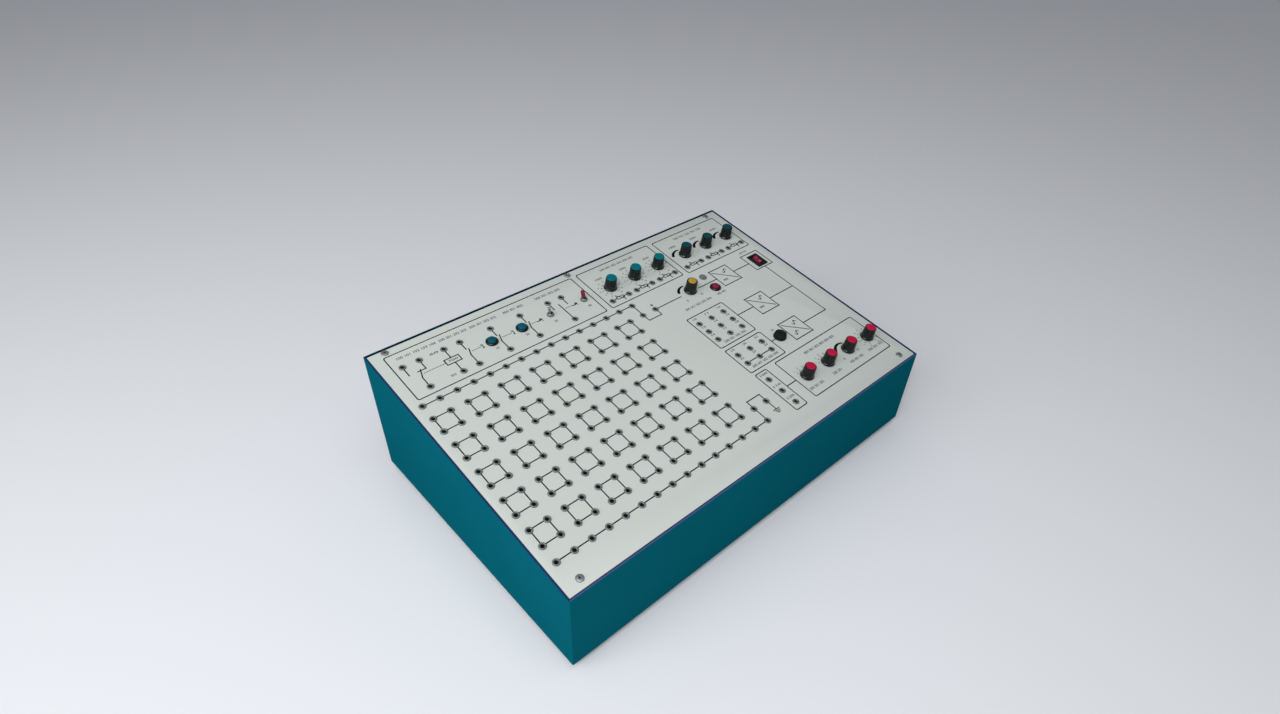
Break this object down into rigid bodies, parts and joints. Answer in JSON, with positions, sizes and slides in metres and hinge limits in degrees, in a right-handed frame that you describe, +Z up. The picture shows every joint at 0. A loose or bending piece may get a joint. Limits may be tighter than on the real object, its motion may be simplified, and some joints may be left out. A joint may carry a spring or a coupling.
{
  "type": "electronics training kit",
  "caption": "Sloping desk console with a plug-in socket field, rotary knobs, switches, buttons, built-in supply and signal outlets, fuse, lamp and rear mains inlet.",
  "frame": {"origin": "on the table under the middle of the whole kit, at the undersides of the feet", "axes": "+X to the right along the low front edge, +Y back towards the high rear wall, +Z up"},
  "size_m": [0.502, 0.3336, 0.1657],
  "materials": {
    "case_paint": "teal paint, light orange-peel",
    "panel_paint": "pale grey paint, printed",
    "black_gloss": "glossy",
    "black_matte": "moulded",
    "dark_housing": "moulded",
    "teal_plastic": "satin",
    "dark_teal_plastic": "satin",
    "yellow_plastic": "satin",
    "red_plastic": "satin",
    "blue_plastic": "glossy",
    "bright_metal": "nickel plated",
    "plain_steel": "zinc plated",
    "core_iron": "varnished laminations",
    "winding": "taped",
    "board": "solder resist",
    "black_aluminium": "anodised",
    "can_sleeve": "sleeved",
    "relay_case": "moulded",
    "foot_rubber": "matte"
  },
  "bodies": {
    "case": {"case_shell": "case_paint", "top_panel": "panel_paint", "foot_front_left": "foot_rubber", "foot_front_right": "foot_rubber", "foot_rear_left": "foot_rubber", "foot_rear_right": "foot_rubber", "decade_switch_1": "dark_housing", "decade_switch_2": "dark_housing", "decade_switch_3": "dark_housing", "resistor_pot_1": "plain_steel", "resistor_pot_2": "plain_steel", "resistor_pot_3": "plain_steel", "source_pot": "plain_steel", "generator_board": "board", "toggle_body_1": "bright_metal", "toggle_body_2": "bright_metal", "push_button_1_housing": "black_gloss", "push_button_2_housing": "black_gloss", "reset_button_housing": "black_gloss", "rocker_frame": "black_gloss", "fuse_holder": "black_gloss", "panel_lamp": "bright_metal", "mains_inlet": "black_matte", "transformer_core": "core_iron", "transformer_coil": "winding", "transformer_strap": "plain_steel", "supply_board": "board", "heat_sink": "black_aluminium", "capacitor": "can_sleeve", "relay": "relay_case"},
    "decade_dial_1": {"decade_knob_1": "black_gloss", "decade_cap_1": "teal_plastic"},
    "decade_dial_2": {"decade_knob_2": "black_gloss", "decade_cap_2": "teal_plastic"},
    "decade_dial_3": {"decade_knob_3": "black_gloss", "decade_cap_3": "teal_plastic"},
    "resistor_dial_1": {"resistor_knob_1": "black_gloss", "resistor_cap_1": "dark_teal_plastic"},
    "resistor_dial_2": {"resistor_knob_2": "black_gloss", "resistor_cap_2": "dark_teal_plastic"},
    "resistor_dial_3": {"resistor_knob_3": "black_gloss", "resistor_cap_3": "dark_teal_plastic"},
    "source_dial": {"source_knob": "black_gloss", "source_cap": "yellow_plastic"},
    "waveform_dial": {"waveform_knob": "black_gloss", "waveform_cap": "red_plastic"},
    "range_dial": {"range_knob": "black_gloss", "range_cap": "red_plastic"},
    "amplitude_dial": {"amplitude_knob": "black_gloss", "amplitude_cap": "red_plastic"},
    "frequency_dial": {"frequency_knob": "black_gloss", "frequency_cap": "red_plastic"},
    "toggle_stick_1": {"toggle_lever_1": "bright_metal"},
    "toggle_stick_2": {"toggle_lever_2": "bright_metal", "toggle_sleeve": "red_plastic"},
    "push_button_1": {"push_button_1_cap": "blue_plastic"},
    "push_button_2": {"push_button_2_cap": "blue_plastic"},
    "reset_button": {"reset_button_cap": "red_plastic"},
    "rocker": {"rocker": "red_plastic"},
    "fuse_cap": {"fuse_cap": "black_gloss"}
  },
  "joints": [
    {"name": "decade_turn_1", "type": "hinge", "parent": "case", "child": "decade_dial_1", "pos_m": [0.02812, 0.11161, 0.1484], "axis": [0, -0.1513, 0.9885], "range_deg": [-150, 150]},
    {"name": "decade_turn_2", "type": "hinge", "parent": "case", "child": "decade_dial_2", "pos_m": [0.06555, 0.11161, 0.1484], "axis": [0, -0.1513, 0.9885], "range_deg": [-150, 150]},
    {"name": "decade_turn_3", "type": "hinge", "parent": "case", "child": "decade_dial_3", "pos_m": [0.10298, 0.11161, 0.1484], "axis": [0, -0.1513, 0.9885], "range_deg": [-150, 150]},
    {"name": "resistor_turn_1", "type": "hinge", "parent": "case", "child": "resistor_dial_1", "pos_m": [0.14858, 0.11067, 0.14825], "axis": [0, -0.1513, 0.9885], "range_deg": [-150, 150]},
    {"name": "resistor_turn_2", "type": "hinge", "parent": "case", "child": "resistor_dial_2", "pos_m": [0.18525, 0.11067, 0.14825], "axis": [0, -0.1513, 0.9885], "range_deg": [-150, 150]},
    {"name": "resistor_turn_3", "type": "hinge", "parent": "case", "child": "resistor_dial_3", "pos_m": [0.22173, 0.11067, 0.14825], "axis": [0, -0.1513, 0.9885], "range_deg": [-150, 150]},
    {"name": "source_turn", "type": "hinge", "parent": "case", "child": "source_dial", "pos_m": [0.10469, 0.05658, 0.13998], "axis": [0, -0.1513, 0.9885], "range_deg": [-150, 150]},
    {"name": "waveform_turn", "type": "hinge", "parent": "case", "child": "waveform_dial", "pos_m": [0.11324, -0.11508, 0.11371], "axis": [0, -0.1513, 0.9885], "range_deg": [-30, 30]},
    {"name": "range_turn", "type": "hinge", "parent": "case", "child": "range_dial", "pos_m": [0.14991, -0.11508, 0.11371], "axis": [0, -0.1513, 0.9885], "range_deg": [-60, 60]},
    {"name": "amplitude_turn", "type": "hinge", "parent": "case", "child": "amplitude_dial", "pos_m": [0.18658, -0.11508, 0.11371], "axis": [0, -0.1513, 0.9885], "range_deg": [-150, 150]},
    {"name": "frequency_turn", "type": "hinge", "parent": "case", "child": "frequency_dial", "pos_m": [0.22306, -0.11508, 0.11371], "axis": [0, -0.1513, 0.9885], "range_deg": [-150, 150]},
    {"name": "toggle_flip_1", "type": "hinge", "parent": "case", "child": "toggle_stick_1", "pos_m": [-0.05757, 0.11183, 0.14944], "axis": [0, 0.9885, 0.1513], "range_deg": [0, 28]},
    {"name": "toggle_flip_2", "type": "hinge", "parent": "case", "child": "toggle_stick_2", "pos_m": [-0.01064, 0.11183, 0.14944], "axis": [0, 0.9885, 0.1513], "range_deg": [0, 28]},
    {"name": "push_button_1_press", "type": "slide", "parent": "case", "child": "push_button_1", "axis": [0, 0.1513, -0.9885], "range_m": [0, 0.002], "stiffness_N_per_m": 300, "springref_m": -0.002},
    {"name": "push_button_2_press", "type": "slide", "parent": "case", "child": "push_button_2", "axis": [0, 0.1513, -0.9885], "range_m": [0, 0.002], "stiffness_N_per_m": 300, "springref_m": -0.002},
    {"name": "reset_button_press", "type": "slide", "parent": "case", "child": "reset_button", "axis": [0, 0.1513, -0.9885], "range_m": [0, 0.002], "stiffness_N_per_m": 300, "springref_m": -0.002},
    {"name": "rocker_tip", "type": "hinge", "parent": "case", "child": "rocker", "pos_m": [0.22059, 0.05354, 0.1385], "axis": [1, 0, 0], "range_deg": [-18, 0]},
    {"name": "fuse_cap_turn", "type": "hinge", "parent": "case", "child": "fuse_cap", "pos_m": [0.13585, -0.05686, 0.12262], "axis": [0, -0.1513, 0.9885], "range_deg": [0, 60]}
  ]
}
